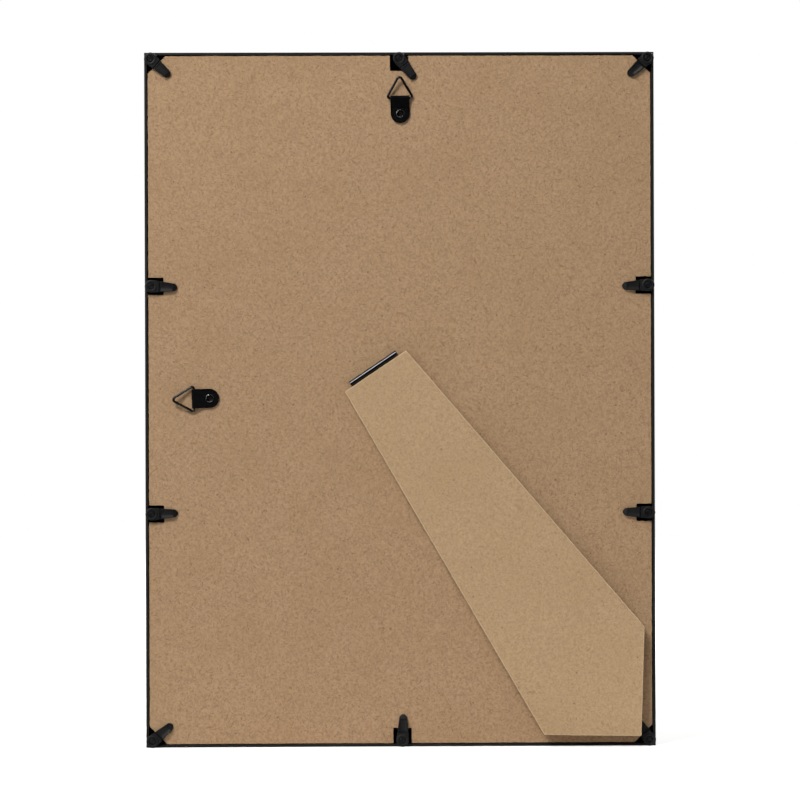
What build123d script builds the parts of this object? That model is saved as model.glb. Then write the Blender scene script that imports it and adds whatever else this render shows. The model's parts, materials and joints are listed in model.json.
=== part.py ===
from build123d import *
import math
import os

# Easel back photo frame for an A4 sheet, in millimetres.
# Pieces are drawn in the back view: x to the right, y up from the bottom edge,
# z out of the back from the front plane. stand_up() then sets the frame upright,
# with its back towards -Y and its origin at the middle of the bottom edge.

# Sheets in the rebate
SHEET_WIDTH = 210.0
SHEET_HEIGHT = 297.0
GLAZING_THICK = 2.0
PICTURE_THICK = 0.3
FILLER_THICK = 2.6
STACK_PLAY = 0.6
SHEET_CLEARANCE = 0.5

# Frame moulding section
BORDER = 15.0
SIGHT_OVERLAP = 4.0
LIP_THICK = 1.8
LIP_SETBACK = 5.2
FRONT_FLAT = 4.5
FRONT_WEB = 2.0
OUTER_WALL = 1.25
REBATE_WALL = 1.8
EDGE_ROUND = 1.5

# Back panel
PANEL_THICK = 2.5
PANEL_CLEARANCE = 0.35
PANEL_CHAMFER = 8.3
SHORT_NOTCH_WIDTH = 8.5
LONG_NOTCH_WIDTH = 8.0
NOTCH_DEPTH = 8.7

# Turn clips and their screws
CLIP_INSET = 3.0
CLIP_HEAD_RADIUS = 3.0
CLIP_TIP_RADIUS = 1.85
CLIP_REACH = 12.3
CLIP_NECK_THICK = 1.9
CLIP_ARM_THICK = 1.5
CLIP_TIP_THICK = 0.5
CLIP_STEP = 3.8
CLIP_BEVEL_LENGTH = 1.9
CLIP_COLLAR_HEIGHT = 2.2
CLIP_COLLAR_BEVEL = 0.3
CLIP_SEAT_THICK = 1.1
CLIP_LIFT = 0.15
SIDE_CLIP_SPACING = 107.2
BOTTOM_CLIP_SHIFT = 0.6
SCREW_RADIUS = 0.9
SCREW_LENGTH = 8.0
SCREW_POINT_LENGTH = 2.0
SCREW_POINT_RADIUS = 0.2
SCREW_HEAD_RADIUS = 1.4
SCREW_HEAD_THICK = 0.8
SCREW_HEAD_PLAY = 0.1
SCREW_CROSS_LENGTH = 1.8
SCREW_CROSS_WIDTH = 0.42
SCREW_CROSS_DEPTH = 0.42
RUNNING_FIT = 0.08
PILOT_FIT = 0.05
RECESS_CLEARANCE = 0.15
PILOT_SPARE = 0.5
BOSS_RADIUS = 2.3
BOSS_ROOT = 1.5

# Way each clip points at rest, in degrees from x in the back view
CLIP_TURNS = {
    "top_left": -42.0,
    "top_middle": -52.2,
    "top_right": -138.0,
    "left_upper": -3.2,
    "left_lower": 1.8,
    "right_upper": -177.5,
    "right_lower": 178.5,
    "bottom_left": 40.5,
    "bottom_middle": 88.0,
    "bottom_right": 124.0,
}

# Hangers: folded strap, triangle wire ring, eyelet rivet
STRAP_WIDTH = 9.0
STRAP_THICK = 0.5
STRAP_MERGE = 4.2
STRAP_EYELET = 7.3
WIRE_RADIUS = 0.57
WIRE_FIT = 0.05
RING_HALF_BASE = 6.25
RING_HEIGHT = 10.9
RING_CORNER_RADIUS = 0.85
RING_APEX_RADIUS = 1.15
RING_RAISED = 9.0
PORTRAIT_HANGER_DROP = 21.6
PORTRAIT_HANGER_SHIFT = 0.3
PORTRAIT_HANGER_TILT = 1.1
LANDSCAPE_HANGER_DROP = 23.0
LANDSCAPE_HANGER_RISE = 0.55
LANDSCAPE_HANGER_TILT = 2.0
EYELET_HOLE_RADIUS = 1.1
EYELET_SHANK_RADIUS = 1.5
EYELET_FLANGE_RADIUS = 1.9
EYELET_FLANGE_THICK = 0.45
EYELET_CLINCH_THICK = 0.35
EYELET_FIT = 0.05

# Easel leg, placed from the frame's middle and its lower right corner
LEG_THICK = 2.5
LEG_LIFT = 1.9
LEG_TOP_WIDTH = 34.7
LEG_TOP_TILT = 33.9
LEG_TOP_GAP = 1.5
LEG_AJAR = 1.0
FOOT_SIDE_INSET = 7.3
FOOT_BOTTOM_INSET = 5.0
FOOT_BOTTOM_LENGTH = 45.6
FOOT_SIDE_LENGTH = 51.4
FOOT_BOTTOM_TILT = 0.85
FOOT_SIDE_TILT = 1.9
LEG_CORNER_ROUND = 0.5

# Leg hinge
HINGE_SIDE_SHIFT = -12.5
HINGE_RISE = 14.6
HINGE_END_INSET = 4.2
HINGE_MIDDLE_KNUCKLE = 11.0
HINGE_KNUCKLE_GAP = 0.15
HINGE_KNUCKLE_RADIUS = 1.3
HINGE_AXIS_LIFT = 1.6
HINGE_PIN_RADIUS = 0.65
HINGE_PIN_FIT = 0.05
HINGE_SWING_CLEARANCE = 0.3
LEAF_THICK = 0.6
LEAF_LENGTH = 16.0
LEAF_CORNER_ROUND = 2.0
PRONG_RADIUS = 0.5
PRONG_LENGTH = 1.5
PRONG_FIT = 0.05
PRONG_EDGE = 4.0

# Sizes that follow from the above
FRAME_WIDTH = SHEET_WIDTH + 2 * BORDER
FRAME_HEIGHT = SHEET_HEIGHT + 2 * BORDER
LIP_REAR = LIP_SETBACK + LIP_THICK
PANEL_SEAT = LIP_REAR + GLAZING_THICK + PICTURE_THICK + FILLER_THICK + STACK_PLAY
FRAME_DEPTH = PANEL_SEAT + PANEL_THICK
SIGHT_EDGE = BORDER + SIGHT_OVERLAP
REBATE_EDGE = BORDER - SHEET_CLEARANCE
MIDDLE_HEIGHT = FRAME_HEIGHT / 2
PANEL_INSET = OUTER_WALL + PANEL_CLEARANCE
CLIP_BASE = FRAME_DEPTH + CLIP_LIFT
LOOP_RADIUS = WIRE_RADIUS + WIRE_FIT + STRAP_THICK
HINGE_LEVEL = FRAME_DEPTH + HINGE_AXIS_LIFT
HINGE_LENGTH = LEG_TOP_WIDTH - 2 * HINGE_END_INSET

CLIP_PIVOTS = {
    "top_left": (-FRAME_WIDTH / 2 + CLIP_INSET, FRAME_HEIGHT - CLIP_INSET),
    "top_middle": (0.0, FRAME_HEIGHT - CLIP_INSET),
    "top_right": (FRAME_WIDTH / 2 - CLIP_INSET, FRAME_HEIGHT - CLIP_INSET),
    "left_upper": (-FRAME_WIDTH / 2 + CLIP_INSET, MIDDLE_HEIGHT + SIDE_CLIP_SPACING / 2),
    "left_lower": (-FRAME_WIDTH / 2 + CLIP_INSET, MIDDLE_HEIGHT - SIDE_CLIP_SPACING / 2),
    "right_upper": (FRAME_WIDTH / 2 - CLIP_INSET, MIDDLE_HEIGHT + SIDE_CLIP_SPACING / 2),
    "right_lower": (FRAME_WIDTH / 2 - CLIP_INSET, MIDDLE_HEIGHT - SIDE_CLIP_SPACING / 2),
    "bottom_left": (-FRAME_WIDTH / 2 + CLIP_INSET, CLIP_INSET),
    "bottom_middle": (BOTTOM_CLIP_SHIFT, CLIP_INSET),
    "bottom_right": (FRAME_WIDTH / 2 - CLIP_INSET, CLIP_INSET),
}

# Each hanger's ring axis in the back view and the turn from "ring points up"
HANGERS = {
    "portrait": (PORTRAIT_HANGER_SHIFT, FRAME_HEIGHT - PORTRAIT_HANGER_DROP, PORTRAIT_HANGER_TILT),
    "landscape": (
        -FRAME_WIDTH / 2 + LANDSCAPE_HANGER_DROP,
        MIDDLE_HEIGHT + LANDSCAPE_HANGER_RISE,
        90.0 + LANDSCAPE_HANGER_TILT,
    ),
}

LOW = (Align.CENTER, Align.CENTER, Align.MIN)
HANGING = (Align.CENTER, Align.CENTER, Align.MAX)


def stand_up(piece):
    return Pos(0, FRAME_DEPTH / 2, 0) * Rot(90, 0, 0) * piece


def drill(x, y, top, radius, depth):
    return Pos(x, y, top) * Cylinder(radius, depth, align=HANGING)


def clip_bay(name):
    # Plan of the bay that the panel leaves round a clip's boss
    x, y = CLIP_PIVOTS[name]
    edge_x = math.copysign(FRAME_WIDTH / 2, x)
    edge_y = 0.0 if y < MIDDLE_HEIGHT else FRAME_HEIGHT
    if "middle" in name:
        return Pos(x, edge_y) * Rectangle(SHORT_NOTCH_WIDTH, 2 * NOTCH_DEPTH)
    if "upper" in name or "lower" in name:
        return Pos(edge_x, y) * Rectangle(2 * NOTCH_DEPTH, LONG_NOTCH_WIDTH)
    across = 2 * math.sqrt(0.5) * (2 * PANEL_INSET + PANEL_CHAMFER)
    return Pos(edge_x, edge_y) * Rot(0, 0, 45) * Rectangle(across, across)


def clip_boss(name):
    # Round post in the channel, hidden under the clip's head
    x, y = CLIP_PIVOTS[name]
    return drill(x, y, FRAME_DEPTH, BOSS_RADIUS, FRAME_DEPTH - BOSS_ROOT)


def frame_moulding():
    channel_edge = REBATE_EDGE - REBATE_WALL
    slope = LIP_SETBACK / (SIGHT_EDGE - FRONT_FLAT)
    channel_floor = FRONT_WEB + slope * (channel_edge - FRONT_FLAT)
    arc_mid = EDGE_ROUND * (1 - math.sqrt(0.5))
    front_round = ThreePointArc((0, EDGE_ROUND), (arc_mid, arc_mid), (EDGE_ROUND, 0))
    outline = Polyline(
        (EDGE_ROUND, 0),
        (FRONT_FLAT, 0),
        (SIGHT_EDGE, LIP_SETBACK),
        (SIGHT_EDGE, LIP_REAR),
        (REBATE_EDGE, LIP_REAR),
        (REBATE_EDGE, PANEL_SEAT),
        (channel_edge, PANEL_SEAT),
        (channel_edge, channel_floor),
        (FRONT_FLAT, FRONT_WEB),
        (OUTER_WALL, FRONT_WEB),
        (OUTER_WALL, FRAME_DEPTH),
        (0, FRAME_DEPTH),
        (0, EDGE_ROUND),
    )
    section = make_face(front_round.edges() + outline.edges())
    half = FRAME_WIDTH / 2
    path = Polyline(
        (0, 0),
        (half, 0),
        (half, FRAME_HEIGHT),
        (-half, FRAME_HEIGHT),
        (-half, 0),
        close=True,
    )
    upright = Plane(origin=(0, 0, 0), x_dir=(0, 1, 0), z_dir=(1, 0, 0))
    moulding = sweep(upright * section, path=path, transition=Transition.RIGHT)
    bosses = [clip_boss(name) for name in CLIP_PIVOTS]
    holes = [
        drill(x, y, FRAME_DEPTH, SCREW_RADIUS + PILOT_FIT, SCREW_LENGTH + PILOT_SPARE)
        for x, y in CLIP_PIVOTS.values()
    ]
    return moulding + bosses - holes


def sheet(thick, level):
    return Pos(0, MIDDLE_HEIGHT, level) * Box(SHEET_WIDTH, SHEET_HEIGHT, thick, align=LOW)


def back_panel():
    width = FRAME_WIDTH - 2 * PANEL_INSET
    height = FRAME_HEIGHT - 2 * PANEL_INSET
    outline = Pos(0, MIDDLE_HEIGHT) * Rectangle(width, height)
    outline -= [clip_bay(name) for name in CLIP_PIVOTS]
    panel = Pos(0, 0, PANEL_SEAT) * extrude(outline, PANEL_THICK)
    eyelet_holes = [
        hanger_place(name) * drill(0, -STRAP_EYELET, 0, EYELET_SHANK_RADIUS + EYELET_FIT, PANEL_THICK)
        for name in HANGERS
    ]
    prong_holes = [
        hinge_place() * drill(x, y, -HINGE_AXIS_LIFT, PRONG_RADIUS + PRONG_FIT, PRONG_LENGTH + PRONG_FIT)
        for x, y in prong_points()
    ]
    return panel - eyelet_holes - prong_holes


def turn_clip(name):
    # Teardrop plate with a raised collar, drawn pointing along x at its pivot
    tip_centre = CLIP_REACH - CLIP_TIP_RADIUS
    rounds = Circle(CLIP_HEAD_RADIUS).edges() + (Pos(tip_centre, 0) * Circle(CLIP_TIP_RADIUS)).edges()
    arm = extrude(make_hull(rounds), CLIP_NECK_THICK)
    above_arm = make_face(
        Polyline(
            (CLIP_STEP, CLIP_NECK_THICK),
            (CLIP_STEP, CLIP_ARM_THICK),
            (CLIP_REACH - CLIP_BEVEL_LENGTH, CLIP_ARM_THICK),
            (CLIP_REACH, CLIP_TIP_THICK),
            (CLIP_REACH, CLIP_NECK_THICK),
            close=True,
        )
    )
    arm -= extrude(Plane.XZ * above_arm, CLIP_HEAD_RADIUS, both=True)
    collar = Cylinder(CLIP_HEAD_RADIUS, CLIP_COLLAR_HEIGHT, align=LOW)
    collar = chamfer(collar.edges().group_by(Axis.Z)[-1], CLIP_COLLAR_BEVEL)
    recess_radius = SCREW_HEAD_RADIUS + RECESS_CLEARANCE
    recess_depth = CLIP_COLLAR_HEIGHT - CLIP_SEAT_THICK
    clip = arm + collar
    clip -= drill(0, 0, CLIP_COLLAR_HEIGHT, recess_radius, recess_depth)
    clip -= drill(0, 0, CLIP_COLLAR_HEIGHT, SCREW_RADIUS + RUNNING_FIT, CLIP_COLLAR_HEIGHT)
    x, y = CLIP_PIVOTS[name]
    return Pos(x, y, CLIP_BASE) * Rot(0, 0, CLIP_TURNS[name]) * clip


def clip_screw(name):
    head_seat = CLIP_BASE + CLIP_SEAT_THICK + SCREW_HEAD_PLAY
    shank_length = SCREW_LENGTH - SCREW_POINT_LENGTH + CLIP_LIFT + CLIP_SEAT_THICK + SCREW_HEAD_PLAY
    head = Cylinder(SCREW_HEAD_RADIUS, SCREW_HEAD_THICK, align=LOW)
    head = chamfer(head.edges().group_by(Axis.Z)[-1], SCREW_HEAD_THICK / 3)
    cross_low = SCREW_HEAD_THICK - SCREW_CROSS_DEPTH
    slot = Box(SCREW_CROSS_LENGTH, SCREW_CROSS_WIDTH, SCREW_HEAD_THICK, align=LOW)
    head -= Pos(0, 0, cross_low) * slot
    head -= Pos(0, 0, cross_low) * Rot(0, 0, 90) * slot
    point = Cone(SCREW_POINT_RADIUS, SCREW_RADIUS, SCREW_POINT_LENGTH, align=HANGING)
    screw = head + drill(0, 0, 0, SCREW_RADIUS, shank_length) + Pos(0, 0, -shank_length) * point
    x, y = CLIP_PIVOTS[name]
    return Pos(x, y, head_seat) * Rot(0, 0, CLIP_TURNS[name]) * screw


def hanger_place(name):
    # Frame of a hanger on the panel's face: y towards the ring, z out of the back
    x, y, turn = HANGERS[name]
    return Pos(x, y, FRAME_DEPTH) * Rot(0, 0, turn)


def hanger_strap(name):
    # Strip folded round the wire, both leaves riveted together
    end = STRAP_EYELET + STRAP_WIDTH / 2
    lift = 2 * STRAP_THICK
    merge_across = STRAP_MERGE
    merge_up = lift - LOOP_RADIUS
    turn = math.atan2(merge_up, merge_across)
    turn += math.acos(LOOP_RADIUS / math.hypot(merge_across, merge_up))
    touch = (LOOP_RADIUS * math.cos(turn), LOOP_RADIUS * (1 + math.sin(turn)))
    leaves = Polyline(touch, (merge_across, lift), (end, lift), (end, 0), (0, 0))
    fold = ThreePointArc((0, 0), (-LOOP_RADIUS, LOOP_RADIUS), touch)
    profile = make_face(leaves.edges() + fold.edges())
    bore_radius = WIRE_RADIUS + WIRE_FIT
    wedge = make_face(
        Polyline(
            (0, LOOP_RADIUS - bore_radius),
            (0, LOOP_RADIUS + bore_radius),
            (merge_across - STRAP_THICK, LOOP_RADIUS - bore_radius),
            close=True,
        )
    )
    profile -= Pos(0, LOOP_RADIUS) * Circle(bore_radius)
    profile -= wedge
    side_view = Plane(origin=(0, 0, 0), x_dir=(0, -1, 0), z_dir=(-1, 0, 0))
    strip = extrude(side_view * profile, STRAP_WIDTH / 2, both=True)
    straight = STRAP_EYELET + LOOP_RADIUS
    plan = Pos(0, LOOP_RADIUS - straight / 2) * Rectangle(STRAP_WIDTH, straight)
    plan += Pos(0, -STRAP_EYELET) * Circle(STRAP_WIDTH / 2)
    strap = strip & extrude(plan, 2 * LOOP_RADIUS)
    strap -= drill(0, -STRAP_EYELET, lift, EYELET_SHANK_RADIUS + EYELET_FIT, lift)
    return hanger_place(name) * strap


def hanger_ring(name):
    corners = [(-RING_HALF_BASE, 0), (0, RING_HEIGHT), (RING_HALF_BASE, 0)]
    path = FilletPolyline(
        *corners,
        radius=[RING_CORNER_RADIUS, RING_APEX_RADIUS, RING_CORNER_RADIUS],
        close=True,
    )
    start = Plane(origin=path @ 0, z_dir=path % 0)
    ring = sweep(start * Circle(WIRE_RADIUS), path=path)
    return hanger_place(name) * Pos(0, 0, LOOP_RADIUS) * Rot(RING_RAISED, 0, 0) * ring


def hanger_rivet(name):
    # Eyelet turned about its own axis: flange on the strap, shank, clinched rim inside
    top = 2 * STRAP_THICK
    inside = -PANEL_THICK
    half = make_face(
        Polyline(
            (EYELET_HOLE_RADIUS, top + EYELET_FLANGE_THICK),
            (EYELET_FLANGE_RADIUS - EYELET_FLANGE_THICK / 2, top + EYELET_FLANGE_THICK),
            (EYELET_FLANGE_RADIUS, top + EYELET_FLANGE_THICK / 2),
            (EYELET_FLANGE_RADIUS, top),
            (EYELET_SHANK_RADIUS, top),
            (EYELET_SHANK_RADIUS, inside),
            (EYELET_FLANGE_RADIUS, inside),
            (EYELET_FLANGE_RADIUS, inside - EYELET_CLINCH_THICK),
            (EYELET_HOLE_RADIUS, inside - EYELET_CLINCH_THICK),
            close=True,
        )
    )
    rivet = revolve(Plane.XZ * half, Axis.Z)
    return hanger_place(name) * Pos(0, -STRAP_EYELET, 0) * rivet


def hinge_place():
    # Frame of the leg hinge on its pin: x along the pin, -y down the leg, z out of the back
    return Pos(HINGE_SIDE_SHIFT, MIDDLE_HEIGHT + HINGE_RISE, HINGE_LEVEL) * Rot(0, 0, LEG_TOP_TILT)


def swing_leg():
    return hinge_place() * Rot(-LEG_AJAR, 0, 0) * hinge_place().inverse()


def prong_points():
    across = HINGE_LENGTH / 2 - PRONG_EDGE
    near = -HINGE_KNUCKLE_RADIUS - HINGE_SWING_CLEARANCE - PRONG_EDGE
    far = -LEAF_LENGTH + PRONG_EDGE
    return [(x, y) for x in (-across, across) for y in (near, far)]


def knuckle(low, high):
    length = high - low
    tube = Cylinder(HINGE_KNUCKLE_RADIUS, length) - Cylinder(HINGE_PIN_RADIUS + HINGE_PIN_FIT, length)
    return Pos((low + high) / 2, 0, 0) * Rot(0, 90, 0) * tube


def leaf_plate():
    plate = Pos(0, -LEAF_LENGTH / 2) * Rectangle(HINGE_LENGTH, LEAF_LENGTH)
    return fillet(plate.vertices().group_by(Axis.Y)[0], LEAF_CORNER_ROUND)


def pin_bore():
    return Rot(0, 90, 0) * Cylinder(HINGE_PIN_RADIUS + HINGE_PIN_FIT, HINGE_LENGTH)


def leg_hinge_panel_leaf():
    half = HINGE_LENGTH / 2
    middle = HINGE_MIDDLE_KNUCKLE / 2 + HINGE_KNUCKLE_GAP
    swing = HINGE_KNUCKLE_RADIUS + HINGE_SWING_CLEARANCE
    plate = leaf_plate() - Rectangle(2 * middle, 2 * swing)
    leaf = Pos(0, 0, -HINGE_AXIS_LIFT) * extrude(plate, LEAF_THICK)
    leaf += [knuckle(-half, -middle), knuckle(middle, half)]
    leaf -= pin_bore()
    leaf += [drill(x, y, -HINGE_AXIS_LIFT, PRONG_RADIUS, PRONG_LENGTH) for x, y in prong_points()]
    return hinge_place() * leaf


def leg_hinge_leg_leaf():
    half = HINGE_LENGTH / 2
    middle = HINGE_MIDDLE_KNUCKLE / 2
    swing = HINGE_KNUCKLE_RADIUS + HINGE_SWING_CLEARANCE
    side = half - middle
    plate = leaf_plate()
    for way in (-1, 1):
        plate -= Pos(way * (middle + side / 2), 0) * Rectangle(side, 2 * swing)
    under_leg = LEG_LIFT - HINGE_AXIS_LIFT
    leaf = Pos(0, 0, under_leg - LEAF_THICK) * extrude(plate, LEAF_THICK)
    leaf += knuckle(-middle, middle)
    leaf -= pin_bore()
    prong_top = under_leg + PRONG_LENGTH
    leaf += [drill(x, y, prong_top, PRONG_RADIUS, PRONG_LENGTH) for x, y in prong_points()]
    return swing_leg() * hinge_place() * leaf


def leg_hinge_pin():
    return hinge_place() * Rot(0, 90, 0) * Cylinder(HINGE_PIN_RADIUS, HINGE_LENGTH)


def easel_leg():
    # Straight top edge along the hinge, square foot at the frame's lower right corner
    top = [
        (hinge_place() * Pos(way * LEG_TOP_WIDTH / 2, -LEG_TOP_GAP, 0)).position
        for way in (-1, 1)
    ]
    foot = Vector(FRAME_WIDTH / 2 - FOOT_SIDE_INSET, FOOT_BOTTOM_INSET)
    foot_side = foot + Vector(0, FOOT_SIDE_LENGTH).rotate(Axis.Z, -FOOT_SIDE_TILT)
    foot_bottom = foot + Vector(-FOOT_BOTTOM_LENGTH, 0).rotate(Axis.Z, -FOOT_BOTTOM_TILT)
    corners = [*top, foot_side, foot, foot_bottom]
    outline = make_face(Polyline(*[(corner.X, corner.Y) for corner in corners], close=True))
    outline = fillet(outline.vertices(), LEG_CORNER_ROUND)
    leg = Pos(0, 0, FRAME_DEPTH + LEG_LIFT) * extrude(outline, LEG_THICK)
    hole_depth = PRONG_LENGTH + PRONG_FIT
    hole_top = LEG_LIFT - HINGE_AXIS_LIFT + hole_depth
    leg -= [
        hinge_place() * drill(x, y, hole_top, PRONG_RADIUS + PRONG_FIT, hole_depth)
        for x, y in prong_points()
    ]
    return swing_leg() * leg


def all_pieces():
    picture_level = LIP_REAR + GLAZING_THICK
    pieces = {
        "frame_moulding": frame_moulding(),
        "glazing_sheet": sheet(GLAZING_THICK, LIP_REAR),
        "picture_sheet": sheet(PICTURE_THICK, picture_level),
        "filler_card": sheet(FILLER_THICK, picture_level + PICTURE_THICK),
        "back_panel": back_panel(),
        "turn_clip_screws": Compound([clip_screw(name).solid() for name in CLIP_PIVOTS]),
        "easel_leg": easel_leg(),
        "leg_hinge_panel_leaf": leg_hinge_panel_leaf(),
        "leg_hinge_leg_leaf": leg_hinge_leg_leaf(),
        "leg_hinge_pin": leg_hinge_pin(),
    }
    for name in CLIP_PIVOTS:
        pieces[f"turn_clip_{name}"] = turn_clip(name)
    for name in HANGERS:
        pieces[f"{name}_hanger_strap"] = hanger_strap(name)
        pieces[f"{name}_hanger_ring"] = hanger_ring(name)
        pieces[f"{name}_hanger_rivet"] = hanger_rivet(name)
    return pieces


os.makedirs("parts", exist_ok=True)
for node, piece in all_pieces().items():
    export_step(stand_up(piece), f"parts/{node}.step")
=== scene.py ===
import json
import math

import bmesh
import bpy
from mathutils import Matrix, Vector, noise

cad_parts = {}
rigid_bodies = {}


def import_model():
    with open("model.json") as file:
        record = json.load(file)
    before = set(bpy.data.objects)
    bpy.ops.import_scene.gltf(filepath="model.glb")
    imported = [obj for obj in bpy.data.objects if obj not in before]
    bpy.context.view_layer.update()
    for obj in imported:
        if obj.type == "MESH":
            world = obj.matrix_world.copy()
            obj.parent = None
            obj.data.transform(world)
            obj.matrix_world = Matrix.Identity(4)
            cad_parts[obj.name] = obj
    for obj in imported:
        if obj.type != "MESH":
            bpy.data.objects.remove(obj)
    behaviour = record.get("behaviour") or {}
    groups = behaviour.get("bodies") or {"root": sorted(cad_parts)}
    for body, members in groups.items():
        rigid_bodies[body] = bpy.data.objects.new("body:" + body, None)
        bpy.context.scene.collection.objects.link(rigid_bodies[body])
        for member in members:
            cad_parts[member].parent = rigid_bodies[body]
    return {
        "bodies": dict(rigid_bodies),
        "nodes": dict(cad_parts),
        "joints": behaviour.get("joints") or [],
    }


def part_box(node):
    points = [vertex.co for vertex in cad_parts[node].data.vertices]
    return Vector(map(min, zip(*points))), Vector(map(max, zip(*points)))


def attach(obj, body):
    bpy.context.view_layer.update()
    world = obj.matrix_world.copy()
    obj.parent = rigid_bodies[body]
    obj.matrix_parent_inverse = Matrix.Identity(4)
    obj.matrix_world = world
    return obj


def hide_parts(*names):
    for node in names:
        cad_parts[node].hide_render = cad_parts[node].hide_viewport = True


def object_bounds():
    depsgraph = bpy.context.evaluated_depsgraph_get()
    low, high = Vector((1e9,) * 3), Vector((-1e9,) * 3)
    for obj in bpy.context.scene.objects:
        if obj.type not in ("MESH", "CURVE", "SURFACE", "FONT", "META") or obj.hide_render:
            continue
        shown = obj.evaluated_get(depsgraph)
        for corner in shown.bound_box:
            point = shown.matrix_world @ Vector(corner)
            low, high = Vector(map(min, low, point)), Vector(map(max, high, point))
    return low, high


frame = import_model()
cad_low, cad_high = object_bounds()

# Sizes in millimetres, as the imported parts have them
CLIP_HEAD_RADIUS = 3.0
CLIP_TIP_RADIUS = 1.85
CLIP_REACH = 12.3
CLIP_NECK_THICK = 1.9
CLIP_ARM_THICK = 1.5
CLIP_TIP_THICK = 0.5
CLIP_STEP = 3.8
CLIP_BEVEL_LENGTH = 1.9
CLIP_COLLAR_HEIGHT = 2.2
CLIP_SEAT_THICK = 1.1
CLIP_RECESS_RADIUS = 1.55
CLIP_BORE_RADIUS = 0.98
EYELET_HOLE_RADIUS = 1.1
EYELET_SHANK_RADIUS = 1.5
EYELET_FLANGE_RADIUS = 1.9
EYELET_FLANGE_THICK = 0.45
EYELET_CLINCH_THICK = 0.35

# Finer forms of the clip's arm, in millimetres: the crease at its root and the sunk flat inside its border
CLIP_SINK = 0.42
CLIP_CREASE_HALF = 0.15
CLIP_CREASE_BANK = 0.2
CLIP_ROOT_BORDER = 0.6
CLIP_TIP_BORDER = 0.3
CLIP_BANK = 0.25
CLIP_MIDDLE = 7.0
# The middle of the sunk flat's side banks and how far they reach from it, as shares of the arm's half width
CLIP_POCKET_SHARE = 0.51
CLIP_BANK_SHARE = 0.23
# How sharply the arm's inner end runs out from the middle of the collar's wall to its rim at the sides
CLIP_FLARE = 8

# The eyelet's curl is highest at this share of the way from its hole to its rim; its clinched rim is rounded
EYELET_CREST_SHARE = 0.68
EYELET_CLINCH_ROUND = 0.1

# Rounds on the edges, in millimetres
MOULDING_ROUND = 0.18
CLIP_ROUND = 0.16
SCREW_ROUND = 0.04
STRAP_ROUND = 0.1
LEAF_ROUND = 0.08

# Sawn boards, in millimetres: steps along the edge, size of the coarse and the fine fray, and the outline of
# the smallest hole that shows
SAW_STEP = 0.7
FRAY_COARSE = 1.6
FRAY_FINE = 0.5
HOLE_OUTLINE_LEAST = 7.0
# The share of the fray that the edge has on the average, and how far a sanded-over arris falls for its width
FRAY_MEAN = 0.35
ARRIS_FALL = 0.35

# What counts as one point in millimetres, as one plane in degrees, and as lying in a broad face: the cosine
# between the two normals and the metres between the two levels
WELD_GAP = 0.002
WELD_ANGLE = 0.5
SAME_WAY = 0.9999
SAME_LEVEL = 1e-6

# The photograph, in millimetres and degrees: image width at the back of the frame, and how the camera stands
PHOTO_WIDTH = 376.8
CAMERA_DISTANCE = 2000.0
CAMERA_LEFT = 0.09
CAMERA_LOW = 0.28
CAMERA_ROLL = 0.19
CAMERA_TURN = 1.0
SENSOR_WIDTH = 36.0

# Floor paper, by metres from the frame: it throws its full light back within BOUNCE_FULL and less of it out
# to BOUNCE_END, and its white is lifted by LIFT_LEAST within LIFT_START, rising to LIFT_MOST at LIFT_FULL
BOUNCE_FULL, BOUNCE_END = 0.12, 0.36
LIFT_START, LIFT_FULL = 0.45, 1.3
LIFT_LEAST, LIFT_MOST = 0.42, 0.9
FLOOR_HALF = 3.0
# Where gloss sees the whole backdrop: metres towards the picture side on the floor, a share of that way in
# the sky
GLOSS_DEPTH = 0.3


def mm(size):
    """Millimetres in metres."""
    return size / 1000


def linear(code):
    """The linear colour of an sRGB hex code."""
    parts = [int(code[i:i + 2], 16) / 255 for i in (1, 3, 5)]
    return [p / 12.92 if p <= 0.04045 else ((p + 0.055) / 1.055) ** 2.4 for p in parts] + [1.0]


def add(tree, kind, inputs, **settings):
    """A node with its settings, each input set to a value or linked to a socket.

    Inputs go by name, or by number for short: a map range has from low, from high, to low and to high at
    1 to 4, and a colour mix has its share at 0 and its two colours at 6 and 7.
    """
    made = tree.nodes.new(kind)
    for name, value in settings.items():
        setattr(made, name, value)
    for name, value in inputs.items():
        if isinstance(value, bpy.types.NodeSocket):
            tree.links.new(value, made.inputs[name])
        else:
            made.inputs[name].default_value = value
    return made


def surface(name, **constants):
    """A new material, its node tree and its shader, with the constant values set on the shader."""
    made = bpy.data.materials.new(name)
    made.use_nodes = True
    shader = made.node_tree.nodes["Principled BSDF"]
    for socket, value in constants.items():
        shader.inputs[socket.replace("_", " ")].default_value = value
    return made, made.node_tree, shader


# Materials


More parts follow.
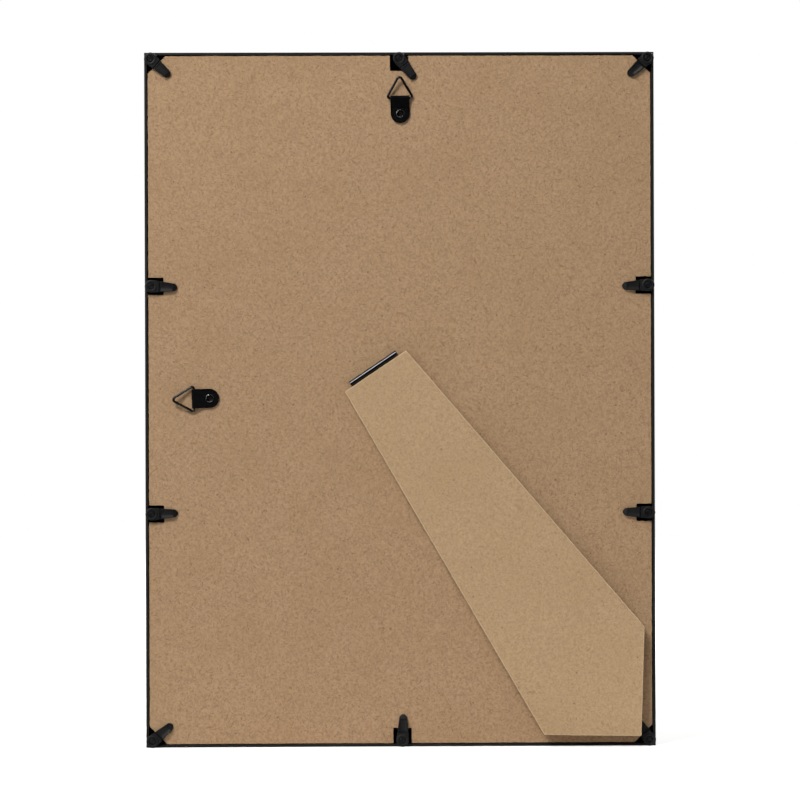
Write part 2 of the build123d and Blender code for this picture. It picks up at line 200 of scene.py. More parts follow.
def sanded_hardboard(name, pale, mid, dark, fleck, speck):
    """Hardboard, wet-pressed and sanded: a matt tan felt of short pale and dark fibres and a few specks."""
    made, tree, shader = surface(name, Specular_IOR_Level=0.2)
    place = add(tree, "ShaderNodeTexCoord", {}).outputs["Object"]
    # Real fibres are a few hundredths of a millimetre across; they are drawn coarser to be seen at this size
    felt = add(
        tree, "ShaderNodeTexNoise",
        {"Vector": place, "Scale": 1 / mm(1.0), "Detail": 2.0, "Roughness": 0.75},
    )
    cloud = add(
        tree, "ShaderNodeTexNoise", {"Vector": place, "Scale": 1 / mm(22), "Detail": 3.0, "Roughness": 0.5}
    )
    # Fibres bend a little along their length and lie in every direction. Three turns in degrees stand for
    # all of them, each with its own fibre width in millimetres
    drift = add(tree, "ShaderNodeTexNoise", {"Vector": place, "Scale": 1 / mm(9), "Detail": 1.0})
    bent = add(
        tree, "ShaderNodeVectorMath",
        {0: drift.outputs["Color"], 1: (mm(7), mm(7), mm(7)), 2: place}, operation="MULTIPLY_ADD",
    )
    fibre, light = 0.0, 0.0
    for turn, width in ((12, 0.75), (71, 0.85), (134, 0.8)):
        lying = add(
            tree, "ShaderNodeMapping",
            {"Vector": bent.outputs[0], "Rotation": (0, math.radians(turn), 0), "Scale": (3.3, 1.0, 0.83)},
            vector_type="TEXTURE",
        )
        strand = add(
            tree, "ShaderNodeTexNoise", {"Vector": lying.outputs[0], "Scale": 1 / mm(width), "Detail": 1.0}
        )
        dark_strand = add(
            tree, "ShaderNodeMapRange", {"Value": strand.outputs[0], 1: 0.62, 2: 0.78, 4: 0.72}
        )
        pale_strand = add(tree, "ShaderNodeMapRange", {"Value": strand.outputs[0], 1: 0.4, 2: 0.26, 4: 0.5})
        fibre = add(
            tree, "ShaderNodeMath", {0: fibre, 1: dark_strand.outputs[0]}, operation="MAXIMUM"
        ).outputs[0]
        light = add(
            tree, "ShaderNodeMath", {0: light, 1: pale_strand.outputs[0]}, operation="MAXIMUM"
        ).outputs[0]
    # Specks of bark, ragged and well under a millimetre, in a few cells of a net of 7 mm on the face
    torn = add(
        tree, "ShaderNodeVectorMath",
        {0: felt.outputs["Color"], 1: (mm(1.3), mm(1.3), mm(1.3)), 2: place}, operation="MULTIPLY_ADD",
    )
    on_face = add(tree, "ShaderNodeMapping", {"Vector": torn.outputs[0], "Rotation": (math.pi / 2, 0, 0)})
    cell = add(
        tree, "ShaderNodeTexVoronoi", {"Vector": on_face.outputs[0], "Scale": 1 / mm(7)},
        voronoi_dimensions="2D",
    )
    few = add(
        tree, "ShaderNodeMapRange", {"Value": cell.outputs["Color"], 1: 0.6, 2: 0.85, 3: 0.0, 4: 0.078}
    )
    dot = add(
        tree, "ShaderNodeMath", {0: few.outputs[0], 1: cell.outputs["Distance"]}, operation="SUBTRACT"
    )
    dot = add(tree, "ShaderNodeMapRange", {"Value": dot.outputs[0], 1: 0.0, 2: 0.05, 4: 0.65})
    base = add(tree, "ShaderNodeMapRange", {"Value": felt.outputs[0], 1: 0.3, 2: 0.7})
    tone = add(
        tree, "ShaderNodeMix", {0: base.outputs[0], 6: linear(dark), 7: linear(pale)}, data_type="RGBA"
    )
    cloudy = add(tree, "ShaderNodeMapRange", {"Value": cloud.outputs[0], 1: 0.4, 2: 0.75, 4: 0.4})
    tone = add(
        tree, "ShaderNodeMix", {0: cloudy.outputs[0], 6: tone.outputs[2], 7: linear(mid)}, data_type="RGBA"
    )
    tone = add(tree, "ShaderNodeMix", {0: light, 6: tone.outputs[2], 7: linear(pale)}, data_type="RGBA")
    tone = add(tree, "ShaderNodeMix", {0: fibre, 6: tone.outputs[2], 7: linear(fleck)}, data_type="RGBA")
    tone = add(
        tree, "ShaderNodeMix", {0: dot.outputs[0], 6: tone.outputs[2], 7: linear(speck)}, data_type="RGBA"
    )
    tree.links.new(tone.outputs[2], shader.inputs["Base Color"])
    rough = add(tree, "ShaderNodeMapRange", {"Value": felt.outputs[0], 3: 0.78, 4: 0.92})
    tree.links.new(rough.outputs[0], shader.inputs["Roughness"])
    bump = add(tree, "ShaderNodeBump", {"Height": felt.outputs[0], "Strength": 0.3, "Distance": mm(0.05)})
    tree.links.new(bump.outputs[0], shader.inputs["Normal"])
    return made


def sawn_hardboard(name, pale, dark):
    """Hardboard edge, sawn and broken over: pale loose fibre with darker pits between."""
    made, tree, shader = surface(name, Roughness=0.92, Specular_IOR_Level=0.15)
    place = add(tree, "ShaderNodeTexCoord", {}).outputs["Object"]
    fluff = add(
        tree, "ShaderNodeTexNoise", {"Vector": place, "Scale": 1 / mm(0.7), "Detail": 4.0, "Roughness": 0.7}
    )
    tone = add(tree, "ShaderNodeMapRange", {"Value": fluff.outputs[0], 1: 0.35, 2: 0.65})
    tone = add(
        tree, "ShaderNodeMix", {0: tone.outputs[0], 6: linear(dark), 7: linear(pale)}, data_type="RGBA"
    )
    tree.links.new(tone.outputs[2], shader.inputs["Base Color"])
    bump = add(tree, "ShaderNodeBump", {"Height": fluff.outputs[0], "Strength": 0.6, "Distance": mm(0.15)})
    tree.links.new(bump.outputs[0], shader.inputs["Normal"])
    return made


def moulded_plastic(name, deep, worn, grain, rough_low, rough_high, shine):
    """Black plastic moulded in a spark-eroded tool: satin with a fine even grain, greyer where worn."""
    made, tree, shader = surface(name, Specular_IOR_Level=shine)
    place = add(tree, "ShaderNodeTexCoord", {}).outputs["Object"]
    # A real spark grain is about a tenth of a millimetre; it is drawn coarser to be seen at this size
    pits = add(
        tree, "ShaderNodeTexNoise",
        {"Vector": place, "Scale": 1 / mm(grain), "Detail": 2.0, "Roughness": 0.6},
    )
    wipe = add(
        tree, "ShaderNodeTexNoise", {"Vector": place, "Scale": 1 / mm(14), "Detail": 4.0, "Roughness": 0.65}
    )
    paler = add(tree, "ShaderNodeMapRange", {"Value": wipe.outputs[0], 1: 0.42, 2: 0.7})
    tone = add(
        tree, "ShaderNodeMix", {0: paler.outputs[0], 6: linear(deep), 7: linear(worn)}, data_type="RGBA"
    )
    tree.links.new(tone.outputs[2], shader.inputs["Base Color"])
    rough = add(
        tree, "ShaderNodeMapRange", {"Value": wipe.outputs[0], 1: 0.35, 2: 0.7, 3: rough_high, 4: rough_low}
    )
    tree.links.new(rough.outputs[0], shader.inputs["Roughness"])
    bump = add(tree, "ShaderNodeBump", {"Height": pits.outputs[0], "Strength": 0.3, "Distance": mm(0.04)})
    tree.links.new(bump.outputs[0], shader.inputs["Normal"])
    return made


def lacquered_steel(name, deep, thin):
    """Steel strip and wire, dipped in black lacquer: deep wet black with a faint orange peel."""
    made, tree, shader = surface(name, Specular_IOR_Level=0.3)
    place = add(tree, "ShaderNodeTexCoord", {}).outputs["Object"]
    peel = add(tree, "ShaderNodeTexNoise", {"Vector": place, "Scale": 1 / mm(1.1), "Detail": 2.0})
    thinned = add(tree, "ShaderNodeMapRange", {"Value": peel.outputs[0], 1: 0.4, 2: 0.75})
    tone = add(
        tree, "ShaderNodeMix", {0: thinned.outputs[0], 6: linear(deep), 7: linear(thin)}, data_type="RGBA"
    )
    tree.links.new(tone.outputs[2], shader.inputs["Base Color"])
    rough = add(tree, "ShaderNodeMapRange", {"Value": peel.outputs[0], 3: 0.05, 4: 0.1})
    tree.links.new(rough.outputs[0], shader.inputs["Roughness"])
    bump = add(tree, "ShaderNodeBump", {"Height": peel.outputs[0], "Strength": 0.15, "Distance": mm(0.04)})
    tree.links.new(bump.outputs[0], shader.inputs["Normal"])
    return made


def blackened_steel(name, dark, bright, rough_low, rough_high):
    """Steel blackened in a hot bath: a dark metal, finely mottled where the bath took unevenly."""
    made, tree, shader = surface(name, Metallic=1.0)
    place = add(tree, "ShaderNodeTexCoord", {}).outputs["Object"]
    mottle = add(
        tree, "ShaderNodeTexNoise", {"Vector": place, "Scale": 1 / mm(0.5), "Detail": 3.0, "Roughness": 0.6}
    )
    tone = add(tree, "ShaderNodeMapRange", {"Value": mottle.outputs[0], 1: 0.35, 2: 0.7})
    tone = add(
        tree, "ShaderNodeMix", {0: tone.outputs[0], 6: linear(dark), 7: linear(bright)}, data_type="RGBA"
    )
    tree.links.new(tone.outputs[2], shader.inputs["Base Color"])
    rough = add(tree, "ShaderNodeMapRange", {"Value": mottle.outputs[0], 3: rough_low, 4: rough_high})
    tree.links.new(rough.outputs[0], shader.inputs["Roughness"])
    bump = add(
        tree, "ShaderNodeBump", {"Height": mottle.outputs[0], "Strength": 0.12, "Distance": mm(0.03)}
    )
    tree.links.new(bump.outputs[0], shader.inputs["Normal"])
    return made


def float_glass():
    """Float glass: clear, faintly green through its edge, with the least waver in its reflections."""
    made, tree, shader = surface("float_glass", Roughness=0.0, IOR=1.52, Transmission_Weight=1.0)
    place = add(tree, "ShaderNodeTexCoord", {}).outputs["Object"]
    ream = add(tree, "ShaderNodeTexNoise", {"Vector": place, "Scale": 1 / mm(60), "Detail": 1.0})
    tone = add(
        tree, "ShaderNodeMix", {0: ream.outputs[0], 6: linear("#F8FCFA"), 7: linear("#FDFEFD")},
        data_type="RGBA",
    )
    tree.links.new(tone.outputs[2], shader.inputs["Base Color"])
    bump = add(tree, "ShaderNodeBump", {"Height": ream.outputs[0], "Strength": 0.02, "Distance": mm(0.2)})
    tree.links.new(bump.outputs[0], shader.inputs["Normal"])
    return made


def laid_paper(name, pale, dark, fibre, rough):
    """Uncoated paper or board off the machine: matt, with a slight cloud of fibres in the light."""
    made, tree, shader = surface(name, Roughness=rough, Specular_IOR_Level=0.2)
    place = add(tree, "ShaderNodeTexCoord", {}).outputs["Object"]
    fibres = add(
        tree, "ShaderNodeTexNoise",
        {"Vector": place, "Scale": 1 / mm(fibre), "Detail": 5.0, "Roughness": 0.65},
    )
    tone = add(tree, "ShaderNodeMapRange", {"Value": fibres.outputs[0], 1: 0.35, 2: 0.65})
    tone = add(
        tree, "ShaderNodeMix", {0: tone.outputs[0], 6: linear(dark), 7: linear(pale)}, data_type="RGBA"
    )
    tree.links.new(tone.outputs[2], shader.inputs["Base Color"])
    bump = add(
        tree, "ShaderNodeBump", {"Height": fibres.outputs[0], "Strength": 0.05, "Distance": mm(0.03)}
    )
    tree.links.new(bump.outputs[0], shader.inputs["Normal"])
    return made


panel_face = sanded_hardboard(
    "hardboard_sanded", pale="#B39471", mid="#9C7E5C", dark="#95775C", fleck="#836647", speck="#5C4630"
)
leg_face = sanded_hardboard(
    "hardboard_sanded_pale", pale="#BA9E79", mid="#A98C68", dark="#A48767", fleck="#957859", speck="#685038"
)
panel_edge = sawn_hardboard("hardboard_sawn", pale="#AD9070", dark="#7D6346")
# The leg's sawn edge has its own pale fibre, painted paler still as a painted highlight along the leg's edge
# line
leg_edge_with_painted_highlight = sawn_hardboard("hardboard_sawn_pale_with_painted_highlight", pale="#D6BC98", dark="#BDA07C")
moulding_black = moulded_plastic(
    "polystyrene_moulded", "#1D1C1B", "#242322", grain=0.35, rough_low=0.48, rough_high=0.58, shine=0.12
)
clip_black = moulded_plastic(
    "nylon_moulded", "#141414", "#1F1F1F", grain=0.45, rough_low=0.4, rough_high=0.55, shine=0.14
)
hanger_black = lacquered_steel("steel_lacquered", deep="#040405", thin="#0B0B0C")
eyelet_black = blackened_steel(
    "eyelet_steel_blackened", "#0B0B0C", "#242425", rough_low=0.14, rough_high=0.3
)
# Near-white metal for bands of the eyelet's curl: a painted highlight for the gleam along its crest
eyelet_painted_highlight = blackened_steel("eyelet_steel_painted_highlight", "#7A7978", "#F0EEEA", rough_low=0.2, rough_high=0.34)
screw_black = blackened_steel("screw_steel_blackened", "#1E1E20", "#37373A", rough_low=0.4, rough_high=0.58)
hinge_black = blackened_steel("hinge_steel_rolled", "#29292B", "#3A3A3C", rough_low=0.1, rough_high=0.17)
glass = float_glass()
paper = laid_paper("paper_uncoated", pale="#F3F0E9", dark="#E9E5DC", fibre=0.9, rough=0.85)
greyboard = laid_paper("greyboard_pressed", pale="#5E5B56", dark="#4A4743", fibre=1.2, rough=0.9)


# Pieces


def piece(name, bm, body, materials, nodes, angle=35):
    """The finished mesh as an object on its body, standing for the nodes."""
    mesh = bpy.data.meshes.new(name)
    bmesh.ops.recalc_face_normals(bm, faces=bm.faces)
    bm.to_mesh(mesh)
    bm.free()
    for finish in materials:
        mesh.materials.append(finish)
    for polygon in mesh.polygons:
        polygon.use_smooth = True
    mesh.set_sharp_from_angle(angle=math.radians(angle))
    made = bpy.data.objects.new(name, mesh)
    bpy.context.scene.collection.objects.link(made)
    # Flat faces keep their own normals, so gloss lies flat on them and bends only at the rounded edges
    made.modifiers.new("flat_gloss", "WEIGHTED_NORMAL").keep_sharp = True
    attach(made, body)
    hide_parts(*nodes)
    return made


def welded(node):
    """A node's solid as one welded mesh of flat faces."""
    bm = bmesh.new()
    bm.from_mesh(frame["nodes"][node].data)
    bmesh.ops.remove_doubles(bm, verts=bm.verts, dist=mm(WELD_GAP))
    bmesh.ops.dissolve_limit(bm, angle_limit=math.radians(WELD_ANGLE), verts=bm.verts, edges=bm.edges)
    return bm


def soften(bm, width, angle=40):
    """Rounds the sharp edges by a little, as a mould or a tumbling drum leaves them."""
    sharp = [
        e for e in bm.edges
        if e.is_convex and e.is_manifold and e.calc_face_angle() > math.radians(angle)
    ]
    bmesh.ops.bevel(
        bm, geom=sharp, offset=mm(width), offset_type="OFFSET", segments=2, profile=0.5,
        affect="EDGES", clamp_overlap=False,
    )
    return bm


def broad_face(node):
    """A board's broad back face: its normal, its thickness and its corner loops, the outline first."""
    bm = welded(node)
    back = max((f for f in bm.faces if f.normal.y < 0), key=lambda f: f.calc_area())
    normal = back.normal.copy()
    level = normal.dot(back.verts[0].co)
    thick = level - min(normal.dot(v.co) for v in bm.verts)
    flat = {
        f for f in bm.faces
        if f.normal.dot(normal) > SAME_WAY and abs(normal.dot(f.verts[0].co) - level) < SAME_LEVEL
    }
    loose = {e for e in bm.edges if len(flat.intersection(e.link_faces)) == 1}
    loops = []
    while loose:
        edge = loose.pop()
        first, last = edge.verts
        loop = [first.co.copy(), last.co.copy()]
        while last is not first:
            edge = next(e for e in last.link_edges if e in loose)
            loose.discard(edge)
            last = edge.other_vert(last)
            loop.append(last.co.copy())
        loops.append(loop[:-1])
    bm.free()
    loops.sort(key=lambda loop: -sum((a - b).length for a, b in zip(loop, loop[1:])))
    return normal, thick, loops


def facing_in(loop, normal):
    """Each point's way into the board, for a loop that runs round it."""
    turn = sum((a.cross(b) for a, b in zip(loop, loop[1:] + loop[:1])), Vector()).dot(normal)
    side = 1 if turn > 0 else -1
    ways = []
    for i, point in enumerate(loop):
        along = (loop[(i + 1) % len(loop)] - loop[i - 1]).normalized()
        ways.append(side * normal.cross(along))
    return ways


def sawn_line(loop, normal, ragged):
    """The outline in short steps, its points drawn in unevenly as a saw leaves fibre."""
    points = []
    for a, b in zip(loop, loop[1:] + loop[:1]):
        count = max(1, round((b - a).length / mm(SAW_STEP)))
        points += [a.lerp(b, i / count) for i in range(count)]
    ways = facing_in(points, normal)
    frayed = []
    for point, way in zip(points, ways):
        rough = noise.noise(point / mm(FRAY_COARSE)) + 0.5 * noise.noise(point / mm(FRAY_FINE))
        frayed.append(point + way * mm(ragged) * max(0.0, FRAY_MEAN + rough))
    return frayed


def board(name, node, body, face, edge, ragged, arris):
    """A sawn hardboard sheet: sanded faces, a broken arris and frayed edges, with its eyelet holes."""
    normal, thick, loops = broad_face(node)
    outline = sawn_line(loops[0], normal, ragged)
    holes = [
        loop for loop in loops[1:]
        if sum((a - b).length for a, b in zip(loop, loop[1:])) > mm(HOLE_OUTLINE_LEAST)
    ]
    bm = bmesh.new()
    top_edges, low_edges, side_faces = [], [], []
    for loop in [outline] + holes:
        inset = mm(arris) if loop is outline else 0
        fall = ARRIS_FALL * inset
        ways = facing_in(loop, normal)
        levels = []
        for depth, pull in ((0, inset), (fall, 0), (thick - fall, 0), (thick, inset)):
            levels.append([bm.verts.new(p + w * pull - normal * depth) for p, w in zip(loop, ways)])
        if not inset:
            levels = [levels[0], levels[3]]
        for high, low in zip(levels, levels[1:]):
            for i in range(len(loop)):
                j = (i + 1) % len(loop)
                side_faces.append(bm.faces.new((high[i], high[j], low[j], low[i])))
        top_edges += [bm.edges.get((levels[0][i - 1], levels[0][i])) for i in range(len(loop))]
        low_edges += [bm.edges.get((levels[-1][i - 1], levels[-1][i])) for i in range(len(loop))]
    bmesh.ops.triangle_fill(bm, edges=top_edges, use_beauty=True, normal=normal)
    bmesh.ops.triangle_fill(bm, edges=low_edges, use_beauty=True, normal=-normal)
    for side in side_faces:
        side.material_index = 1
    return piece(name, bm, body, [face, edge], [node], angle=25)


def turned(bm, profile, place, steps, paler=()):
    """A closed profile of (radius, height) in millimetres turned about its axis, the paler bands in its
    second finish.
    """
    rings = []
    for i in range(steps):
        turn = 2 * math.pi * i / steps
        way = Vector((math.cos(turn), math.sin(turn), 0))
        rings.append([bm.verts.new(place @ (way * mm(r) + Vector((0, 0, mm(h))))) for r, h in profile])
    for here, there in zip(rings, rings[1:] + rings[:1]):
        for i in range(len(profile)):
            j = (i + 1) % len(profile)
            band = bm.faces.new((here[i], there[i], there[j], here[j]))
            band.material_index = 1 if i in paler else 0


def clip_height(x, across):
    """How thick the clip's arm is at a place: neck, crease, sunk flat inside a border, bevelled tip."""
    bevel_start = CLIP_REACH - CLIP_BEVEL_LENGTH
    if x < CLIP_STEP:
        return CLIP_NECK_THICK
    if x < CLIP_STEP + CLIP_CREASE_HALF + CLIP_CREASE_BANK / 2:
        return CLIP_ARM_THICK - CLIP_SINK
    if x > bevel_start:
        return CLIP_ARM_THICK - (x - bevel_start) / CLIP_BEVEL_LENGTH * (CLIP_ARM_THICK - CLIP_TIP_THICK)
    pocket_start = CLIP_STEP + CLIP_ROOT_BORDER + CLIP_BANK / 2
    pocket_end = bevel_start - CLIP_TIP_BORDER - CLIP_BANK / 2
    inside = abs(across) < CLIP_POCKET_SHARE and pocket_start < x < pocket_end
    return CLIP_ARM_THICK - (CLIP_SINK if inside else 0)


def clip_arm(place):
    """The clip's tapering arm, from inside the collar to its round tip."""
    bm = bmesh.new()
    tip_centre = CLIP_REACH - CLIP_TIP_RADIUS
    tangent = math.acos((CLIP_HEAD_RADIUS - CLIP_TIP_RADIUS) / tip_centre)
    bevel_start = CLIP_REACH - CLIP_BEVEL_LENGTH
    # Lines across the arm, from the crease at its root to the start of its tip's bevel
    stations = [
        CLIP_STEP - CLIP_CREASE_HALF, CLIP_STEP + CLIP_CREASE_HALF,
        CLIP_STEP + CLIP_CREASE_HALF + CLIP_CREASE_BANK,
        CLIP_STEP + CLIP_ROOT_BORDER, CLIP_STEP + CLIP_ROOT_BORDER + CLIP_BANK, CLIP_MIDDLE,
        bevel_start - CLIP_TIP_BORDER - CLIP_BANK, bevel_start - CLIP_TIP_BORDER, bevel_start,
    ]
    start_radius = (CLIP_HEAD_RADIUS + CLIP_RECESS_RADIUS) / 2
    # Lines along the arm, as shares of its half width
    bank_low, bank_high = CLIP_POCKET_SHARE - CLIP_BANK_SHARE, CLIP_POCKET_SHARE + CLIP_BANK_SHARE
    halves = [0, 0.14, bank_low, bank_high, 0.84, 0.93, 1]
    shares = [-half for half in halves[:0:-1]] + halves
    columns = []
    for across in shares:
        turn = across * tangent
        way = Vector((math.cos(turn), math.sin(turn)))
        start = way * (start_radius + (CLIP_HEAD_RADIUS - start_radius) * across ** CLIP_FLARE)
        end = Vector((tip_centre, 0)) + way * CLIP_TIP_RADIUS
        between = [start.lerp(end, (x - start.x) / (end.x - start.x)) for x in stations]
        columns.append([start] + between + [end])
    top = [
        [bm.verts.new(place @ Vector((mm(q.x), mm(q.y), mm(clip_height(q.x, across))))) for q in line]
        for line, across in zip(columns, shares)
    ]
    low = [[bm.verts.new(place @ Vector((mm(q.x), mm(q.y), 0))) for q in line] for line in columns]
    rows = len(stations) + 2
    for a in range(len(columns) - 1):
        for b in range(rows - 1):
            bm.faces.new((top[a][b], top[a][b + 1], top[a + 1][b + 1], top[a + 1][b]))
            bm.faces.new((low[a][b], low[a + 1][b], low[a + 1][b + 1], low[a][b + 1]))
        bm.faces.new((top[a][0], top[a + 1][0], low[a + 1][0], low[a][0]))
        bm.faces.new((top[a][-1], low[a][-1], low[a + 1][-1], top[a + 1][-1]))
    for b in range(rows - 1):
        bm.faces.new((top[0][b], low[0][b], low[0][b + 1], top[0][b + 1]))
        bm.faces.new((top[-1][b], top[-1][b + 1], low[-1][b + 1], low[-1][b]))
    bmesh.ops.recalc_face_normals(bm, faces=bm.faces)
    return soften(bm, CLIP_ROUND, angle=62)


def turn_clip(body):
    """A moulded turn clip, pointing the way its node points at rest."""
    node = frame["nodes"][body]
    joint = next(j for j in frame["joints"] if j["child"] == body)
    pivot = Vector(joint["pos_m"])
    area = sum(p.area for p in node.data.polygons)
    middle = sum((p.center * p.area for p in node.data.polygons), Vector()) / area
    way = Vector((middle.x - pivot.x, 0, middle.z - pivot.z)).normalized()
    across = Vector((0, -1, 0)).cross(way)
    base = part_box(body)[1].y
    place = Matrix((way, across, (0, -1, 0))).transposed().to_4x4()
    place.translation = Vector((pivot.x, base, pivot.z))
    bm = clip_arm(place)
    head, top, recess, seat = CLIP_HEAD_RADIUS, CLIP_COLLAR_HEIGHT, CLIP_RECESS_RADIUS, CLIP_SEAT_THICK
    # The collar from its foot over the rounded rim, down the recess to the screw's seat and its bore
    profile = [
        (CLIP_BORE_RADIUS, 0), (head - 0.15, 0), (head, 0.15), (head, top - 0.45), (head - 0.06, top - 0.24),
        (head - 0.2, top - 0.1), (head - 0.45, top - 0.02), (head - 0.6, top), (recess + 0.3, top - 0.02),
        (recess + 0.12, top - 0.1), (recess + 0.02, top - 0.28), (recess, top - 0.4), (recess, seat),
        (CLIP_BORE_RADIUS, seat),
    ]
    turned(bm, profile, place, steps=48)
    return piece("moulded_" + body, bm, body, [clip_black], [body], angle=32)


def eyelet(node):
    """A rolled eyelet: its flange curls over the strap, its shank goes through to a clinched rim inside."""
    low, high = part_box(node)
    centre = (low + high) / 2
    place = Matrix(((1, 0, 0), (0, 0, 1), (0, -1, 0))).transposed().to_4x4()
    place.translation = Vector((centre.x, low.y, centre.z))
    length = (high.y - low.y) * 1000
    hole, rim, thick = EYELET_HOLE_RADIUS, EYELET_FLANGE_RADIUS, EYELET_FLANGE_THICK
    crest = hole + EYELET_CREST_SHARE * (rim - hole)
    # The curl from its outer edge over the crest and into the hole, half a turn in steps of 15 degrees
    curl = []
    for turn in range(0, 181, 15):
        reach = rim - crest if turn < 90 else crest - hole
        angle = math.radians(turn)
        curl.append((crest + reach * math.cos(angle), thick * (math.sin(angle) - 1)))
    back = -(length - EYELET_CLINCH_THICK)
    profile = curl + [
        (hole, -length), (rim - EYELET_CLINCH_ROUND, -length), (rim, -length + EYELET_CLINCH_ROUND),
        (rim, back), (EYELET_SHANK_RADIUS, back), (EYELET_SHANK_RADIUS, -thick),
    ]
    bm = bmesh.new()
    # Three bands on the curl's outer shoulder get near-white metal, a painted highlight for the gleam along
    # the curl's crest
    turned(bm, profile, place, steps=64, paler=(2, 3, 4))
    finishes = [eyelet_black, eyelet_painted_highlight]
    return piece("rolled_" + node, bm, "frame", finishes, [node], angle=40)


board(
    "sawn_back_panel", "back_panel", "frame", panel_face, panel_edge,
    ragged=0.16, arris=0.12,
)
board(
    "sawn_easel_leg", "easel_leg", "easel_leg", leg_face, leg_edge_with_painted_highlight,
    ragged=0.14, arris=0.3,
)
piece(
    "moulded_frame", soften(welded("frame_moulding"), MOULDING_ROUND), "frame",
    [moulding_black], ["frame_moulding"],
)
for clip_body in [name for name in frame["bodies"] if name.startswith("turn_clip_")]:
    turn_clip(clip_body)
piece(
    "recessed_clip_screws", soften(welded("turn_clip_screws"), SCREW_ROUND), "frame",
    [screw_black], ["turn_clip_screws"],
)
for hung in ("portrait", "landscape"):
    strap = hung + "_hanger_strap"
    piece(
        "folded_" + strap, soften(welded(strap), STRAP_ROUND), "frame",
        [hanger_black], [strap],
    )
    ring = hung + "_hanger_ring"
    piece("bent_" + ring, welded(ring), ring, [hanger_black], [ring], angle=60)
    eyelet(hung + "_hanger_rivet")
for leaf, body in (
    ("leg_hinge_panel_leaf", "frame"), ("leg_hinge_leg_leaf", "easel_leg"), ("leg_hinge_pin", "frame"),
):
    piece("rolled_" + leaf, soften(welded(leaf), LEAF_ROUND), body, [hinge_black], [leaf])
for node, finish in (("glazing_sheet", glass), ("picture_sheet", paper), ("filler_card", greyboard)):
    frame["nodes"][node].data.materials.clear()
    frame["nodes"][node].data.materials.append(finish)
# Lamp light goes straight through the glass to the paper behind it
frame["nodes"]["glazing_sheet"].visible_shadow = False


# Floor, light and camera


def backdrop_seen(tree, depth):
    """One where the backdrop shows: to the camera, through glass, and in gloss towards the picture side."""
    path = add(tree, "ShaderNodeLightPath", {})
    beyond = add(tree, "ShaderNodeMapRange", {"Value": depth, 1: 0.0, 2: GLOSS_DEPTH})
    gloss = add(
        tree, "ShaderNodeMath", {0: path.outputs["Is Glossy Ray"], 1: beyond.outputs[0]},
        operation="MULTIPLY",
    )
    seen = add(
        tree, "ShaderNodeMath",
        {0: path.outputs["Is Camera Ray"], 1: path.outputs["Is Transmission Ray"]}, operation="MAXIMUM",
    )
    return add(tree, "ShaderNodeMath", {0: seen.outputs[0], 1: gloss.outputs[0]}, operation="MAXIMUM")


def sweep_floor():
    """A pale paper floor: white to the camera where it is lit, darker in the frame's shadow."""
    made, tree, shader = surface(
        "backdrop_paper", Roughness=0.95, Specular_IOR_Level=0.1, Emission_Color=linear("#FFFFFF")
    )
    place = add(tree, "ShaderNodeTexCoord", {}).outputs["Object"]
    tooth = add(tree, "ShaderNodeTexNoise", {"Vector": place, "Scale": 1 / mm(2), "Detail": 3.0})
    tone = add(
        tree, "ShaderNodeMix", {0: tooth.outputs[0], 6: linear("#F2F2F1"), 7: linear("#F6F6F5")},
        data_type="RGBA",
    )
    way = add(tree, "ShaderNodeSeparateXYZ", {0: place})
    seen = backdrop_seen(tree, way.outputs["Y"])
    # Only the paper right under the frame throws its full light back at it. Further off it throws less than
    # it shows, and least of all in gloss, so that the black pieces stay black
    far = add(tree, "ShaderNodeVectorMath", {0: place}, operation="LENGTH")
    near = add(tree, "ShaderNodeMapRange", {"Value": far.outputs["Value"], 1: BOUNCE_END, 2: BOUNCE_FULL})
    near = add(tree, "ShaderNodeMath", {0: seen.outputs[0], 1: near.outputs[0]}, operation="MAXIMUM")
    gloss = add(tree, "ShaderNodeLightPath", {}).outputs["Is Glossy Ray"]
    thrown = add(
        tree, "ShaderNodeMix", {0: gloss, 6: linear("#9A9A99"), 7: linear("#3A3A3A")}, data_type="RGBA"
    )
    tone = add(
        tree, "ShaderNodeMix", {0: near.outputs[0], 6: thrown.outputs[2], 7: tone.outputs[2]},
        data_type="RGBA",
    )
    tree.links.new(tone.outputs[2], shader.inputs["Base Color"])
    lift = add(
        tree, "ShaderNodeMapRange",
        {"Value": far.outputs["Value"], 1: LIFT_START, 2: LIFT_FULL, 3: LIFT_LEAST, 4: LIFT_MOST},
    )
    lift = add(tree, "ShaderNodeMath", {0: seen.outputs[0], 1: lift.outputs[0]}, operation="MULTIPLY")
    tree.links.new(lift.outputs[0], shader.inputs["Emission Strength"])
    bm = bmesh.new()
    bmesh.ops.create_grid(bm, x_segments=24, y_segments=24, size=FLOOR_HALF)
    mesh = bpy.data.meshes.new("sweep_floor")
    bm.to_mesh(mesh)
    bm.free()
    mesh.materials.append(made)
    floor = bpy.data.objects.new("sweep_floor", mesh)
    bpy.context.scene.collection.objects.link(floor)


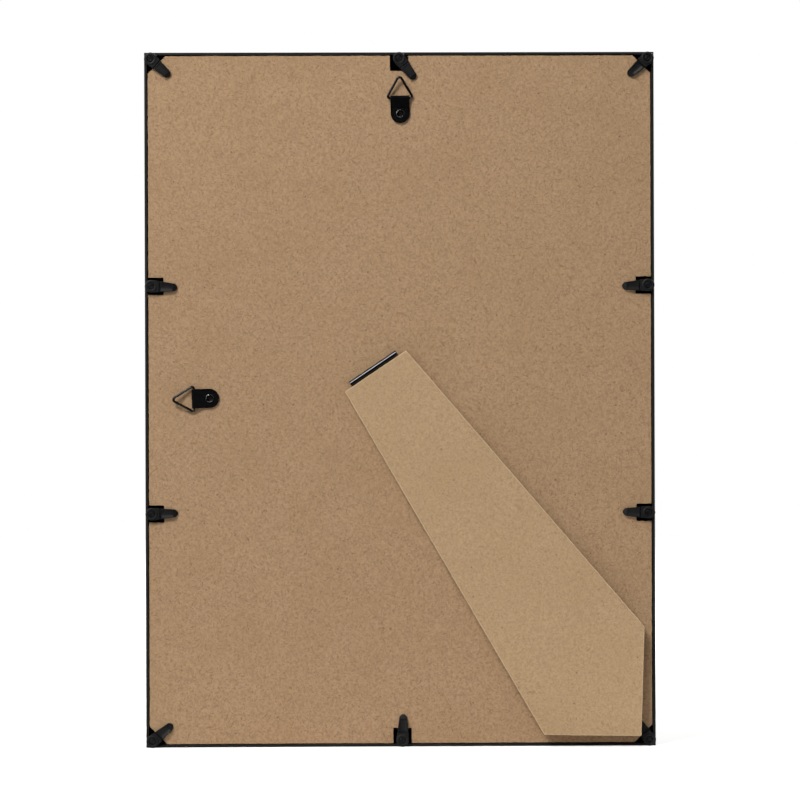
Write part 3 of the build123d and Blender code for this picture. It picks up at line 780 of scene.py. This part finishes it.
def softbox(name, place, size, power, shows=True, lights=True):
    """A square soft light aimed at the frame's middle: it shows in gloss, lights what is matt, or both."""
    lamp = bpy.data.lights.new(name, "AREA")
    lamp.shape = "SQUARE"
    lamp.size = size
    lamp.energy = power
    made = bpy.data.objects.new(name, lamp)
    bpy.context.scene.collection.objects.link(made)
    made.location = place
    aim = Vector((0, 0, (cad_low.z + cad_high.z) / 2)) - Vector(place)
    made.rotation_mode = "QUATERNION"
    made.rotation_quaternion = aim.to_track_quat("-Z", "Y")
    made.visible_camera = False
    made.visible_glossy = shows
    made.visible_diffuse = lights


def studio_world(ambient):
    """White to the camera and in gloss towards the picture side, and a dim studio for the rest."""
    world = bpy.data.worlds.new("studio_world")
    bpy.context.scene.world = world
    world.use_nodes = True
    tree = world.node_tree
    way = add(tree, "ShaderNodeSeparateXYZ", {0: add(tree, "ShaderNodeTexCoord", {}).outputs["Generated"]})
    seen = backdrop_seen(tree, way.outputs["Y"])
    level = add(tree, "ShaderNodeMapRange", {"Value": seen.outputs[0], 3: ambient, 4: 1.0})
    sky = tree.nodes["Background"]
    sky.inputs["Color"].default_value = linear("#FFFFFF")
    tree.links.new(level.outputs[0], sky.inputs["Strength"])


def photo_camera():
    """Square on to the back of the frame, as far off as the photograph's perspective says."""
    lens = bpy.data.cameras.new("photo_camera")
    lens.sensor_width = SENSOR_WIDTH
    lens.lens = SENSOR_WIDTH * CAMERA_DISTANCE / PHOTO_WIDTH
    lens.clip_end = 100.0
    made = bpy.data.objects.new("photo_camera", lens)
    bpy.context.scene.collection.objects.link(made)
    middle = Vector((0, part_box("frame_moulding")[0].y, (cad_low.z + cad_high.z) / 2))
    upright = Matrix.Rotation(math.radians(-CAMERA_TURN), 4, "Z") @ Matrix.Rotation(math.radians(90), 4, "X")
    rolled = Matrix.Rotation(math.radians(-CAMERA_ROLL), 4, "Z")
    stand_off = Matrix.Translation((-mm(CAMERA_LEFT), -mm(CAMERA_LOW), mm(CAMERA_DISTANCE)))
    made.matrix_world = Matrix.Translation(middle) @ upright @ stand_off @ rolled
    bpy.context.scene.camera = made


sweep_floor()
softbox("upper_left_softbox", (-0.59, -0.925, 1.185), size=0.54, power=21.7)
softbox("upper_left_sheen", (-1.7, -1.7, 1.35), size=1.6, power=40.0, lights=False)
softbox("front_card", (-0.35, -1.7, 0.15), size=0.9, power=4.3, shows=False)
softbox("picture_side_softbox", (0.9, 1.6, 1.3), size=0.8, power=38.0)
studio_world(ambient=0.12)
photo_camera()
bpy.context.scene.view_settings.view_transform = "Standard"
